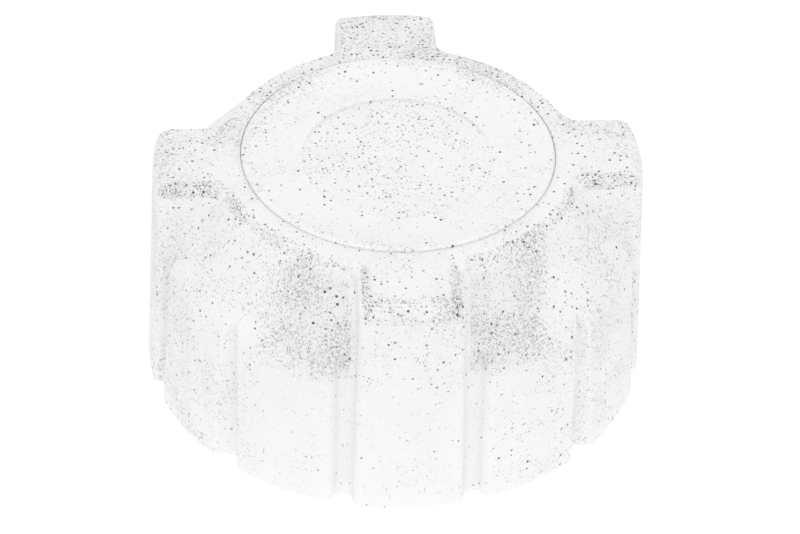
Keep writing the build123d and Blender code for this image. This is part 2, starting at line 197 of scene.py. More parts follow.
def makeSpecks():
    tree, given, result = newGroup(
        "specks", "ShaderNodeTree",
        [("Vector", place3, None), ("Scale", number, 900.0), ("Share", number, 0.3),
         ("Size", number, 0.3), ("Faintest", number, 0.2), ("Scatter", number, 1.0)],
        [("Mask", number)])
    cells = addNode(tree, "ShaderNodeTexVoronoi", {
        "Vector": given["Vector"], "Scale": given["Scale"], "Randomness": given["Scatter"]})
    chance = addNode(tree, "ShaderNodeSeparateColor", {"Color": cells.outputs["Color"]}).outputs
    kept = math1(tree, "LESS_THAN", chance["Red"], given["Share"])
    grown = math1(tree, "MULTIPLY_ADD", chance["Green"], speckLook["spread"],
                  speckLook["smallest"])
    reach = math1(tree, "MULTIPLY", given["Size"], grown)
    core = math1(tree, "MULTIPLY", reach, speckLook["core"])
    dot = fadeOut(tree, cells.outputs["Distance"], core, reach)
    strength = math1(tree, "POWER", chance["Blue"], speckLook["paleBias"])
    depth = mapRange(tree, strength, 0.0, 1.0, given["Faintest"], 1.0, smooth=False)
    tree.links.new(multiplyAll(tree, dot, kept, depth), result["Mask"])
    return tree


ringLook = {
    "risePerMm": 0.71,  # so that upright walls have rings too
    "wander": {"Scale": 0.35, "Detail": 1.0},
    "marks": {"Detail": 2.0},
    "bands": {"Scale": 0.8, "Detail": 2.0},
    "bandContrast": (0.3, 0.7),
}


def makeTurnedRings():
    tree, given, result = newGroup(
        "turnedRings", "ShaderNodeTree",
        [("Vector", place3, None), ("Rings Per Millimetre", number, 6.0),
         ("Runout", number, 0.02)],
        [("Height", number), ("Shade", number)])
    point = scaled(tree, given["Vector"], 1 / mm)
    x, y, z = separated(tree, point)
    radius = math1(tree, "MULTIPLY_ADD", z, ringLook["risePerMm"], flatLength(tree, x, y))
    wander = noise(tree, {"Vector": point, **ringLook["wander"]})
    path = math1(tree, "MULTIPLY_ADD", wander, given["Runout"], radius)
    marks = noise(tree, {"W": path, "Scale": given["Rings Per Millimetre"], **ringLook["marks"]},
                  noise_dimensions="1D")
    bands = noise(tree, {"W": path, **ringLook["bands"]}, noise_dimensions="1D")
    tree.links.new(marks, result["Height"])
    tree.links.new(mapRange(tree, bands, *ringLook["bandContrast"]), result["Shade"])
    return tree


mouldedGrain = makeMouldedGrain()
specks = makeSpecks()
turnedRings = makeTurnedRings()
print("shared effects made")


# Materials: a roughness is a range, and every depth is in millimetres

def newMaterial(name, finish, metallic=0.0):
    material = bpy.data.materials.new(name)
    material.use_nodes = True
    tree = material.node_tree
    shader = tree.nodes["Principled BSDF"]
    shader.inputs["Base Color"].default_value = (*finish["colour"], 1)
    shader.inputs["Roughness"].default_value = sum(finish["roughness"]) / 2
    shader.inputs["Metallic"].default_value = metallic
    place = addNode(tree, "ShaderNodeTexCoord").outputs["Object"]
    return material, tree, shader, place


def addBump(tree, shader, height, depth):
    bump = addNode(tree, "ShaderNodeBump", {"Height": height, "Distance": depth * mm})
    tree.links.new(bump.outputs["Normal"], shader.inputs["Normal"])


def addColour(tree, shader, colour):
    tree.links.new(colour, shader.inputs["Base Color"])


def addRoughness(tree, shader, share, low, high):
    tree.links.new(mapRange(tree, share, 0.0, 1.0, low, high), shader.inputs["Roughness"])


# Moulded skin of the shell and the crown disc: pale, with fine and coarse dark specks, and painted
# shade in zones

skin = {
    "dull": (0.64, 0.64, 0.64),
    "speck": (0.035, 0.035, 0.035),
    "fineSpecks": {"Scale": 4300.0, "Size": 0.62, "Faintest": 0.12},
    "coarseSpecks": {"Scale": 1250.0, "Size": 0.275, "Faintest": 0.55, "Scatter": 0.85},
    "fineStrength": 0.62,
    "coarseStrength": 1.0,
    "patches": (1.1, 0.4),  # how far the mottle gathers the fine specks, and the least of them
    "cloud": 0.05,  # shade of the mottle
    "pitContrast": (0.5, 0.72),
    "pitShade": 0.9,  # shade of the grain where there are many specks
    "leastPitShade": 0.14,  # and where there are few
    "grainShare": 0.5,  # height of the grain beside the depth of a speck
    "grainDepth": 0.03,
    "roughness": (0.44, 0.58),
    "softness": 0.3,  # share of light that passes under the skin
    "softDepth": 1.2,
}


def makeSpeckledSkin():
    tree, given, result = newGroup(
        "speckledSkin", "ShaderNodeTree",
        [("Vector", place3, None), ("Pale", colour4, None), ("Fine Share", number, 0.1),
         ("Coarse Share", number, 0.3), ("Painted Shade", number, 0.0), ("Painted Speck Shade", number, 0.0)],
        [("Colour", colour4), ("Mottle", number), ("Height", number)])
    place = given["Vector"]
    grain = useGroup(tree, mouldedGrain, {"Vector": place})
    patches = math1(tree, "MULTIPLY_ADD", grain["Mottle"], *skin["patches"])
    fineShare = math1(tree, "MULTIPLY", given["Fine Share"], patches)
    fine = useGroup(tree, specks, {
        "Vector": place, "Share": fineShare, **skin["fineSpecks"]})["Mask"]
    coarse = useGroup(tree, specks, {
        "Vector": place, "Share": given["Coarse Share"], **skin["coarseSpecks"]})["Mask"]
    # this input makes the fine specks darker at the lug edges, brow, rim and nose: painted shade
    fineStrength = math1(tree, "ADD", given["Painted Speck Shade"], skin["fineStrength"])
    marks = math1(tree, "MAXIMUM", math1(tree, "MULTIPLY", coarse, skin["coarseStrength"]),
                  math1(tree, "MULTIPLY", fine, fineStrength), clamp=True)
    # Painted Shade is darkness painted in by zone, laid on top of the mottle's random cloud
    cloud = math1(tree, "MULTIPLY_ADD", grain["Mottle"], skin["cloud"], given["Painted Shade"])
    pits = multiplyAll(
        tree, mapRange(tree, grain["Height"], *skin["pitContrast"]), patches,
        math1(tree, "MULTIPLY_ADD", fineShare, skin["pitShade"], skin["leastPitShade"]))
    shade = math1(tree, "ADD", pits, cloud, clamp=True)
    # the body darkens towards dull with the grain's pits, the mottle and the painted shade
    body = mixColour(tree, shade, given["Pale"], skin["dull"])
    bumps = math1(tree, "MULTIPLY", grain["Height"], skin["grainShare"])
    tree.links.new(mixColour(tree, marks, body, skin["speck"]), result["Colour"])
    tree.links.new(grain["Mottle"], result["Mottle"])
    tree.links.new(math1(tree, "SUBTRACT", bumps, marks), result["Height"])
    return tree


speckledSkin = makeSpeckledSkin()


def weighted(tree, zones, weights):
    total = 0.0
    for zone, weight in weights.items():
        total = math1(tree, "MULTIPLY_ADD", zones[zone], weight, total)
    return math1(tree, "MAXIMUM", total, 0.0)


def addSkin(tree, shader, place, finish, zones):
    amounts = {name: weighted(tree, zones, weights) for name, weights in finish["zones"].items()}
    look = useGroup(tree, speckledSkin, {
        "Vector": place, "Pale": (*finish["colour"], 1), **amounts})
    addColour(tree, shader, look["Colour"])
    addRoughness(tree, shader, look["Mottle"], *finish["roughness"])
    addBump(tree, shader, look["Height"], finish["grainDepth"])
    shader.inputs["Subsurface Weight"].default_value = finish["softness"]
    shader.inputs["Subsurface Radius"].default_value = (1, 1, 1)
    shader.inputs["Subsurface Scale"].default_value = finish["softDepth"] * mm


shellFinish = {
    **skin,
    "colour": (0.905, 0.905, 0.905),
    "zones": {  # what each zone adds
        # the extra dark specks in these zones go with the painted shade, and frontLow takes specks
        # away: painted light on the front's low faces
        "Fine Share": {
            "everywhere": 0.16, "frontShoulder": 0.75, "shoulder": 0.05, "frontNose": 0.5,
            "edge": 0.85, "brow": 0.5, "side": 0.12, "topBack": 0.3, "back": 0.2, "rim": 0.4,
            "frontLow": -0.12},
        "Coarse Share": {
            "everywhere": 0.26, "frontShoulder": 0.2, "frontNose": 0.4, "topBack": 0.35,
            "edge": 0.74, "brow": 0.5, "back": 0.3, "rim": 0.5, "frontLow": -0.18},
        # painted shade: darker tone on the front shoulders, lug noses and front edges, lug tops at
        # the back, crown brow and rim, sides and back
        "Painted Shade": {
            "frontShoulder": 0.2, "shoulder": 0.04, "frontNose": 0.14, "edge": 0.18,
            "brow": 0.12, "side": 0.02, "topBack": 0.04, "back": 0.06, "rim": 0.1},
        # painted shade: darker fine specks at the lug edges, crown brow, rim and lug noses
        "Painted Speck Shade": {"edge": 0.3, "brow": 0.25, "rim": 0.2, "frontNose": 0.05},
    },
    "limits": {  # millimetres over which a zone starts or ends, where a depth is from front to back
        "besideLug": (7.5, 8.3, 14.0, 21.5),
        "shoulderHeight": (18.8, 22.8, 30.8, 32.3),
        "lugWidth": (6.0, 6.7),
        "sideLug": (18.0, 22.0),
        "sideLugShift": -0.8,  # the side lugs' marks are that much wider
        "lugRadius": (23.5, 25.5),
        "lugTopHeight": (31.6, 32.6),
        "noseRadius": (29.8, 31.2),
        "noseHeight": (30.2, 31.6),
        "edgeAcross": (4.7, 5.9),
        "edgeHeight": (31.2, 32.2),
        "edgeDepth": (-4.6, -3.8),
        "crownHeight": (31.0, 31.8),
        "browRadius": (23.2, 23.7, 24.4, 25.1),
        "browAcross": (6.8, 7.8),
        "browDepth": (-9.0, -5.0),
        "rimRadius": (20.9, 21.3, 24.3, 25.0),
        "rimDepth": (-2.0, 8.0),
        "sideReach": (16.0, 27.0),
        "sideHeight": (28.0, 31.0),
        "lowHeight": (18.5, 22.0),
        "leftPart": (7.0, 16.0),
        "backDepth": (14.0, 26.0),
        "behindFront": (-20.0, -8.0),
        "frontTurn": (0.5, 0.82),  # cosine of the turn from straight ahead
    },
}


# masks for the painted shade and the denser specks that go with it, and for the painted lighter
# front low faces
def shellZones(tree, place):
    limits = shellFinish["limits"]

    def rise(value, name):
        return mapRange(tree, value, *limits[name])

    def fall(value, name):
        return fadeOut(tree, value, *limits[name])

    def within(value, name):
        return band(tree, value, *limits[name])

    x, y, z = separated(tree, scaled(tree, place, 1 / mm))
    wide, deep = math1(tree, "ABSOLUTE", x), math1(tree, "ABSOLUTE", y)
    across = math1(tree, "MINIMUM", wide, deep)  # distance from the nearest lug's middle plane
    radius = flatLength(tree, x, y)
    ahead = math1(tree, "DIVIDE", math1(tree, "MULTIPLY", y, -1.0), radius)
    front = rise(ahead, "frontTurn")
    shoulder = multiplyAll(tree, within(z, "shoulderHeight"), within(across, "besideLug"))
    sideLug = rise(wide, "sideLug")
    shifted = math1(tree, "MULTIPLY_ADD", sideLug, limits["sideLugShift"], across)
    onLug = fall(shifted, "lugWidth")
    nose = multiplyAll(tree, rise(radius, "noseRadius"), rise(z, "noseHeight"), onLug)
    lugTop = multiplyAll(tree, onLug, rise(radius, "lugRadius"), rise(z, "lugTopHeight"))
    return {
        "everywhere": 1.0,
        "shoulder": shoulder,
        "frontShoulder": math1(tree, "MULTIPLY", shoulder, front),
        "frontNose": math1(tree, "MULTIPLY", nose, front),
        "frontLow": multiplyAll(tree, fall(z, "lowHeight"), front, fall(x, "leftPart")),
        "topBack": math1(tree, "MULTIPLY", lugTop, rise(y, "behindFront")),
        "edge": multiplyAll(tree, onLug, rise(radius, "lugRadius"), rise(across, "edgeAcross"),
                            rise(z, "edgeHeight"), fall(y, "edgeDepth")),
        "brow": multiplyAll(tree, within(radius, "browRadius"), rise(z, "crownHeight"),
                            fall(y, "browDepth"), rise(across, "browAcross")),
        "rim": multiplyAll(tree, within(radius, "rimRadius"), rise(z, "crownHeight"),
                           rise(y, "rimDepth")),
        "side": multiplyAll(tree, rise(wide, "sideReach"), fall(z, "sideHeight")),
        "back": rise(y, "backDepth"),
    }


def makeShellPlastic():
    material, tree, shader, place = newMaterial("shellPlastic", shellFinish)
    addSkin(tree, shader, place, shellFinish, shellZones(tree, place))
    return material


discFinish = {
    **skin,
    "colour": (0.915, 0.915, 0.915),
    "zones": {
        "Fine Share": {"everywhere": 0.1, "panel": 0.06, "rim": 0.15, "farRim": 0.3},
        "Coarse Share": {"everywhere": 0.3, "panel": 0.35, "rim": 0.25, "farRim": 0.35},
        # painted shade: a dark line on the far side of the middle panel's step, and a darker rim,
        # most at the far side
        "Painted Shade": {"farLine": 0.4, "rim": 0.02, "farRim": 0.05},
    },
    "limits": {
        "panel": (12.1, 13.2),
        "line": (12.62, 12.72, 12.95, 13.1),  # round the middle panel
        "rim": (18.6, 20.2),
        "far": (0.0, 9.0),
    },
}


def discZones(tree, place):
    limits = discFinish["limits"]
    x, y, _ = separated(tree, scaled(tree, place, 1 / mm))
    radius = flatLength(tree, x, y)
    far = mapRange(tree, y, *limits["far"])
    rim = mapRange(tree, radius, *limits["rim"])
    return {
        "everywhere": 1.0,
        "panel": fadeOut(tree, radius, *limits["panel"]),
        # painted shade line on the far side of the panel's step
        "farLine": math1(tree, "MULTIPLY", band(tree, radius, *limits["line"]), far),
        "rim": rim,
        "farRim": math1(tree, "MULTIPLY", rim, far),
    }


def makeDiscPlastic():
    material, tree, shader, place = newMaterial("discPlastic", discFinish)
    addSkin(tree, shader, place, discFinish, discZones(tree, place))
    return material


# Hidden pieces' materials

insertFinish = {
    "colour": (0.16, 0.165, 0.17),
    "darkest": 0.82,  # share of the colour
    "fibre": (0.27, 0.275, 0.28),
    "roughness": (0.46, 0.62),
    "grain": {"Grain Scale": 1900.0, "Mottle Scale": 90.0},
    "grainDepth": 0.02,
    "fibres": {"Scale": 2400.0, "Share": 0.55, "Size": 0.32},
    "flow": (1.0, 1.0, 0.22),  # glass fibres lie along the flow
}


def makeInsertPlastic():
    material, tree, shader, place = newMaterial("insertPlastic", insertFinish)
    grain = useGroup(tree, mouldedGrain, {"Vector": place, **insertFinish["grain"]})
    flow = stretched(tree, place, insertFinish["flow"])
    fibres = useGroup(tree, specks, {"Vector": flow, **insertFinish["fibres"]})["Mask"]
    dark = tuple(insertFinish["darkest"] * part for part in insertFinish["colour"])
    body = mixColour(tree, grain["Mottle"], dark, insertFinish["colour"])
    addColour(tree, shader, mixColour(tree, fibres, body, insertFinish["fibre"]))
    addRoughness(tree, shader, grain["Mottle"], *insertFinish["roughness"])
    addBump(tree, shader, grain["Height"], insertFinish["grainDepth"])
    return material


slipFinish = {
    "colour": (0.8, 0.79, 0.74),
    "shade": (0.72, 0.7, 0.64),
    "shadeShare": 0.4,
    "roughness": (0.24, 0.36),
    "grain": {"Grain Scale": 1400.0, "Mottle Scale": 120.0},
    "ringsPerMm": 5.0,
    "ringDepth": 0.008,
}

valveFinish = {
    **slipFinish,
    "colour": (0.74, 0.73, 0.69),
    "shade": (0.66, 0.645, 0.6),
    "roughness": (0.34, 0.48),
    "ringsPerMm": 3.5,
}


def makeTurnedPlastic(name, finish):
    material, tree, shader, place = newMaterial(name, finish)
    rings = useGroup(tree, turnedRings, {
        "Vector": place, "Rings Per Millimetre": finish["ringsPerMm"]})
    grain = useGroup(tree, mouldedGrain, {"Vector": place, **finish["grain"]})
    share = math1(tree, "MULTIPLY", math1(tree, "ADD", rings["Shade"], grain["Mottle"]),
                  finish["shadeShare"])
    addColour(tree, shader, mixColour(tree, share, finish["colour"], finish["shade"]))
    addRoughness(tree, shader, grain["Mottle"], *finish["roughness"])
    addBump(tree, shader, rings["Height"], finish["ringDepth"])
    return material


rubberFinish = {
    "colour": (0.035, 0.035, 0.038),
    "bloom": (0.1, 0.1, 0.1),
    "roughness": (0.5, 0.72),
    "grain": {"Grain Scale": 3200.0, "Mottle Scale": 210.0},
    "grainDepth": 0.015,
    "mottleShare": 0.35,
    "dust": {"Scale": 1800.0, "Share": 0.3, "Size": 0.25},
    "dustShare": 0.6,
}


def makeSealRubber():
    material, tree, shader, place = newMaterial("sealRubber", rubberFinish)
    grain = useGroup(tree, mouldedGrain, {"Vector": place, **rubberFinish["grain"]})
    dust = useGroup(tree, specks, {"Vector": place, **rubberFinish["dust"]})["Mask"]
    share = math1(tree, "MULTIPLY_ADD", grain["Mottle"], rubberFinish["mottleShare"],
                  math1(tree, "MULTIPLY", dust, rubberFinish["dustShare"]), clamp=True)
    addColour(tree, shader, mixColour(tree, share, rubberFinish["colour"], rubberFinish["bloom"]))
    addRoughness(tree, shader, grain["Mottle"], *rubberFinish["roughness"])
    addBump(tree, shader, grain["Height"], rubberFinish["grainDepth"])
    return material


guardFinish = {
    "colour": (0.62, 0.63, 0.64),
    "shade": (0.52, 0.53, 0.545),
    "roughness": (0.4, 0.54),
    "grain": {"Grain Scale": 2100.0, "Mottle Scale": 110.0},
    "grainDepth": 0.025,
    "strays": {"Scale": 1300.0, "Share": 0.12, "Size": 0.22},
    "strayColour": (0.2, 0.2, 0.2),
    "strayStrength": 0.5,
}


def makeGuardPlastic():
    material, tree, shader, place = newMaterial("guardPlastic", guardFinish)
    grain = useGroup(tree, mouldedGrain, {"Vector": place, **guardFinish["grain"]})
    strays = useGroup(tree, specks, {"Vector": place, **guardFinish["strays"]})["Mask"]
    marks = math1(tree, "MULTIPLY", strays, guardFinish["strayStrength"])
    body = mixColour(tree, grain["Mottle"], guardFinish["colour"], guardFinish["shade"])
    addColour(tree, shader, mixColour(tree, marks, body, guardFinish["strayColour"]))
    addRoughness(tree, shader, grain["Mottle"], *guardFinish["roughness"])
    addBump(tree, shader, grain["Height"], guardFinish["grainDepth"])
    return material


springFinish = {
    "colour": (0.62, 0.62, 0.63),
    "shade": (0.46, 0.455, 0.45),
    "roughness": (0.22, 0.42),
    "drawing": (9.0, 9.0, 0.25),  # drawn lines are long, along the wire
    "lineDetail": 3.0,
    "lineDepth": 0.006,
    "heat": {"Scale": 260.0, "Detail": 2.0},
    "heatContrast": (0.35, 0.68),
}


def makeSpringSteel():
    material, tree, shader, place = newMaterial("springSteel", springFinish, metallic=1.0)
    wire = addNode(tree, "ShaderNodeAttribute", attribute_name="wireGrain").outputs["Vector"]
    lines = noise(tree, {"Vector": stretched(tree, wire, springFinish["drawing"]),
                         "Scale": 1 / mm, "Detail": springFinish["lineDetail"]})
    heat = mapRange(tree, noise(tree, {"Vector": wire, **springFinish["heat"]}),
                    *springFinish["heatContrast"])
    addColour(tree, shader, mixColour(tree, heat, springFinish["colour"], springFinish["shade"]))
    addRoughness(tree, shader, lines, *springFinish["roughness"])
    addBump(tree, shader, lines, springFinish["lineDepth"])
    return material


washerFinish = {
    "colour": (0.66, 0.66, 0.67),
    "shade": (0.5, 0.5, 0.51),
    "shadeShare": 0.7,
    "roughness": (0.26, 0.46),
    "grain": {"Grain Scale": 1600.0, "Mottle Scale": 320.0},
    "ringsPerMm": 7.0,
    "ringDepth": 0.006,
}

brassFinish = {
    **washerFinish,
    "colour": (0.78, 0.62, 0.32),
    "shade": (0.55, 0.4, 0.19),
    "roughness": (0.2, 0.38),
    "ringsPerMm": 8.0,
}


def makeTurnedMetal(name, finish):
    material, tree, shader, place = newMaterial(name, finish, metallic=1.0)
    rings = useGroup(tree, turnedRings, {
        "Vector": place, "Rings Per Millimetre": finish["ringsPerMm"]})
    grain = useGroup(tree, mouldedGrain, {"Vector": place, **finish["grain"]})
    share = math1(tree, "MULTIPLY", grain["Mottle"], finish["shadeShare"])
    addColour(tree, shader, mixColour(tree, share, finish["colour"], finish["shade"]))
    addRoughness(tree, shader, rings["Shade"], *finish["roughness"])
    addBump(tree, shader, rings["Height"], finish["ringDepth"])
    return material


materials = {
    "shell_plastic": makeShellPlastic(),
    "disc_plastic": makeDiscPlastic(),
    "insert_plastic": makeInsertPlastic(),
    "slip_plastic": makeTurnedPlastic("slipPlastic", slipFinish),
    "seal_rubber": makeSealRubber(),
    "guard_plastic": makeGuardPlastic(),
    "valve_plastic": makeTurnedPlastic("valvePlastic", valveFinish),
    "spring_steel": makeSpringSteel(),
    "washer_steel": makeTurnedMetal("washerSteel", washerFinish),
    "stem_brass": makeTurnedMetal("stemBrass", brassFinish),
}

nodeSlots = {
    "grip_shell": "shell_plastic",
    "top_disc": "disc_plastic",
    "valve_housing": "insert_plastic",
    "slip_washer": "slip_plastic",
    "neck_o_ring": "seal_rubber",
    "neck_gasket": "seal_rubber",
    "bottom_guard": "guard_plastic",
    "seat_ring": "valve_plastic",
    "seat_o_ring": "seal_rubber",
    "main_spring": "spring_steel",
    "pressure_plate": "valve_plastic",
    "pressure_seal": "seal_rubber",
    "seal_washer": "washer_steel",
    "vacuum_spring": "spring_steel",
    "vacuum_stem": "stem_brass",
    "vacuum_seal": "seal_rubber",
    "vacuum_clip": "washer_steel",
}


def dressNodes():
    for name, slot in nodeSlots.items():
        socket = nodes[name].material_slots[0]
        socket.link = "OBJECT"
        socket.material = materials[slot]


dressNodes()
print("materials made:", len(materials))


# Geometry Nodes

def sizeSockets(sizes, counts):
    return [*((name, number, None) for name in sizes), *((name, count, None) for name in counts),
            ("Material", paint, None)]


def growPiece(name, tree, values):
    piece = bpy.data.objects.new(name, bpy.data.meshes.new(name + "Seed"))
    bpy.context.scene.collection.objects.link(piece)
    modifier = piece.modifiers.new(name, "NODES")
    modifier.node_group = tree
    for item in tree.interface.items_tree:
        if item.in_out == "INPUT" and item.name in values:
            modifier[item.identifier] = values[item.name]
    piece.update_tag()
    evaluated = piece.evaluated_get(bpy.context.evaluated_depsgraph_get())
    mesh = bpy.data.meshes.new_from_object(evaluated)
    piece.modifiers.remove(modifier)
    mesh.name = name
    piece.data = mesh
    return piece


def endTree(tree, result, geometry, material):
    smooth = addNode(tree, "GeometryNodeSetShadeSmooth", {"Geometry": geometry})
    real = addNode(tree, "GeometryNodeRealizeInstances", {"Geometry": smooth.outputs[0]})
    painted = addNode(tree, "GeometryNodeSetMaterial", {
        "Geometry": real.outputs[0], "Material": material})
    tree.links.new(painted.outputs[0], result["Geometry"])


def capture(tree, geometry, kind, label, value):
    node = tree.nodes.new("GeometryNodeCaptureAttribute")
    node.capture_items.new(kind, label)
    tree.links.new(geometry, node.inputs[0])
    tree.links.new(value, node.inputs[1])
    return node.outputs[0], node.outputs[1]


def moved(tree, geometry, offset):
    return addNode(tree, "GeometryNodeSetPosition", {
        "Geometry": geometry, "Offset": offset}).outputs[0]


def upright(tree, curve):
    return addNode(tree, "GeometryNodeSetCurveNormal", {"Curve": curve}, mode="Z_UP").outputs[0]


# Turned outlines

def softCorners(corners, reach, steps=4):
    arcs = []
    shares = [step / steps for step in range(steps + 1)]
    for before, corner, after in zip(corners[-1:] + corners[:-1], corners,
                                     corners[1:] + corners[:1]):
        before, corner, after = Vector(before), Vector(corner), Vector(after)
        start = corner + (before - corner).normalized() * reach
        end = corner + (after - corner).normalized() * reach
        arcs.append([start.lerp(corner, share).lerp(corner.lerp(end, share), share)[:]
                     for share in shares])
    return arcs


def turnOutline(name, outline, steps, slot):
    work = bmesh.new()
    columns = []
    for r, z in outline:
        turns = [math.tau * step / steps for step in range(steps if r > 0 else 1)]
        columns.append([work.verts.new((r * math.cos(turn), r * math.sin(turn), z))
                        for turn in turns])
    for low, high in zip(columns, columns[1:]):
        for step in range(steps):
            following = (step + 1) % steps
            corners = [low[step % len(low)], low[following % len(low)],
                       high[following % len(high)], high[step % len(high)]]
            work.faces.new(list(dict.fromkeys(corners)))
    bmesh.ops.remove_doubles(work, verts=work.verts, dist=joinReach)
    bmesh.ops.recalc_face_normals(work, faces=work.faces)
    mesh = bpy.data.meshes.new(name)
    work.to_mesh(mesh)
    work.free()
    mesh.shade_smooth()
    mesh.materials.append(materials[slot])
    piece = bpy.data.objects.new(name, mesh)
    bpy.context.scene.collection.objects.link(piece)
    return piece


# Crown disc, pressed into the shell's recess

crownDisc = {
    "radius": 21.05,  # millimetres
    "bottom": 31.3,
    "top": 33.6,
    "collarRadius": 21.17,  # the disc's side fills the recess up to here
    "collarTop": 33.22,
    "chamfer": 0.25,
    "rimInside": 20.2,
    "bend": (17.1, 32.88),  # a point of the dished ring's arc
    "dishEnd": (13.0, 32.6),
    "panel": (12.7, 32.3),
    "soft": 0.09,  # rounding of each corner
    "arcSteps": 28,
    "steps": 256,
}


def arcThrough(first, middle, last, steps):
    (ax, ay), (bx, by), (cx, cy) = first, middle, last
    d = 2 * (ax * (by - cy) + bx * (cy - ay) + cx * (ay - by))
    a2, b2, c2 = ax * ax + ay * ay, bx * bx + by * by, cx * cx + cy * cy
    x = (a2 * (by - cy) + b2 * (cy - ay) + c2 * (ay - by)) / d
    y = (a2 * (cx - bx) + b2 * (ax - cx) + c2 * (bx - ax)) / d
    radius = math.hypot(ax - x, ay - y)
    start, end = math.atan2(ay - y, ax - x), math.atan2(cy - y, cx - x)
    turns = [start + (end - start) * step / steps for step in range(steps + 1)]
    return [(x + radius * math.cos(turn), y + radius * math.sin(turn)) for turn in turns]


def makeCrownDisc():
    shape = crownDisc
    side, top, chamfer = shape["radius"], shape["top"], shape["chamfer"]
    bottomMiddle, rimCorner = (0, shape["bottom"]), (shape["rimInside"], top)
    panelMiddle = (0, shape["panel"][1])
    corners = [bottomMiddle, (shape["collarRadius"], shape["bottom"]),
               (shape["collarRadius"], shape["collarTop"]), (side, shape["collarTop"]),
               (side, top - chamfer), (side - chamfer, top), rimCorner, shape["bend"]]
    outer = [point for arc in softCorners(corners, shape["soft"])[1:-1] for point in arc]
    dish = arcThrough(rimCorner, shape["bend"], shape["dishEnd"], shape["arcSteps"])
    corners = [dish[-2], shape["dishEnd"], shape["panel"], panelMiddle]
    inner = [point for arc in softCorners(corners, shape["soft"])[1:-1] for point in arc]
    outline = [(r * mm, z * mm)
               for r, z in (bottomMiddle, *outer, *dish[1:-1], *inner, panelMiddle)]
    disc = turnOutline("top_disc_moulded", outline, shape["steps"], "disc_plastic")
    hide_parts("top_disc")
    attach(disc, "grip")


makeCrownDisc()
print("crown disc made")


# Screw thread inside the shell

threadRidge = {
    "Wall Radius": 27.0 * mm,
    "Ridge Depth": 1.15 * mm,
    "Inward Share": 0.4,  # a tenth of the depth stays in the wall
    "Root Width": 2.3 * mm,
    "Crest Width": 0.8 * mm,
    "Edge Round": 0.25 * mm,
    "Round Steps": 4,
    "Pitch": 3.6 * mm,
    "Turns": 1.5,
    "Start Height": 3.1 * mm,
    "Lead Turns": 0.07,  # the ridge grows to its full depth over this part of a turn
    "Lead Size": 0.12,  # share of its full size at the tip
    "Steps Per Turn": 120,
}


def makeThreadTree():
    tree, given, result = newGroup(
        "threadRidge", "GeometryNodeTree",
        sizeSockets(("Wall Radius", "Ridge Depth", "Inward Share", "Root Width", "Crest Width",
                     "Edge Round", "Pitch", "Turns", "Start Height", "Lead Turns", "Lead Size"),
                    ("Round Steps", "Steps Per Turn")),
        [("Geometry", form)])
    spiral = addNode(tree, "GeometryNodeCurveSpiral", {
        "Resolution": given["Steps Per Turn"], "Rotations": given["Turns"],
        "Height": math1(tree, "MULTIPLY", given["Pitch"], given["Turns"]),
        "Start Radius": given["Wall Radius"], "End Radius": given["Wall Radius"]})
    lifted = moved(tree, spiral.outputs[0], joined(tree, z=given["Start Height"]))
    along = addNode(tree, "GeometryNodeSplineParameter").outputs["Factor"]
    nearEnd = math1(tree, "MINIMUM", along, math1(tree, "SUBTRACT", 1.0, along))
    turned = math1(tree, "MULTIPLY", nearEnd, given["Turns"])
    size = mapRange(tree, turned, 0.0, given["Lead Turns"], given["Lead Size"], 1.0)
    profile = addNode(tree, "GeometryNodeCurvePrimitiveQuadrilateral", {
        "Height": given["Ridge Depth"], "Bottom Width": given["Root Width"],
        "Top Width": given["Crest Width"], "Offset": 0.0}, mode="TRAPEZOID")
    rounded = addNode(tree, "GeometryNodeFilletCurve", {
        "Curve": profile.outputs[0], "Count": given["Round Steps"],
        "Radius": given["Edge Round"], "Limit Radius": True}, mode="POLY")
    inward = math1(tree, "MULTIPLY", given["Ridge Depth"], given["Inward Share"])
    seated = addNode(tree, "GeometryNodeTransform", {
        "Geometry": rounded.outputs[0], "Translation": joined(tree, inward),
        "Rotation": (0, 0, -math.pi / 2)})  # the crest points inward
    swept = addNode(tree, "GeometryNodeCurveToMesh", {
        "Curve": upright(tree, lifted), "Profile Curve": seated.outputs[0], "Scale": size,
        "Fill Caps": True})
    endTree(tree, result, swept.outputs[0], given["Material"])
    return tree


def makeThread():
    ridge = growPiece("thread_ridge", makeThreadTree(), {
        **threadRidge, "Material": materials["shell_plastic"]})
    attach(ridge, "grip")


# Springs with closed, ground ends

mainSpring = {
    "Turns": 3.5,
    "End Turns": 0.7,
    "End Pitch": 1.68 * mm,
    "Ground Share": 0.35,  # height of the wire's centre at the ground ends, in wire radii
    "Wire Sides": 24,
    "Steps Per Turn": 90,
}

vacuumSpring = {
    "Turns": 5.5,
    "End Turns": 0.8,
    "End Pitch": 0.47 * mm,
    "Ground Share": 0.35,
    "Wire Sides": 14,
    "Steps Per Turn": 56,
}


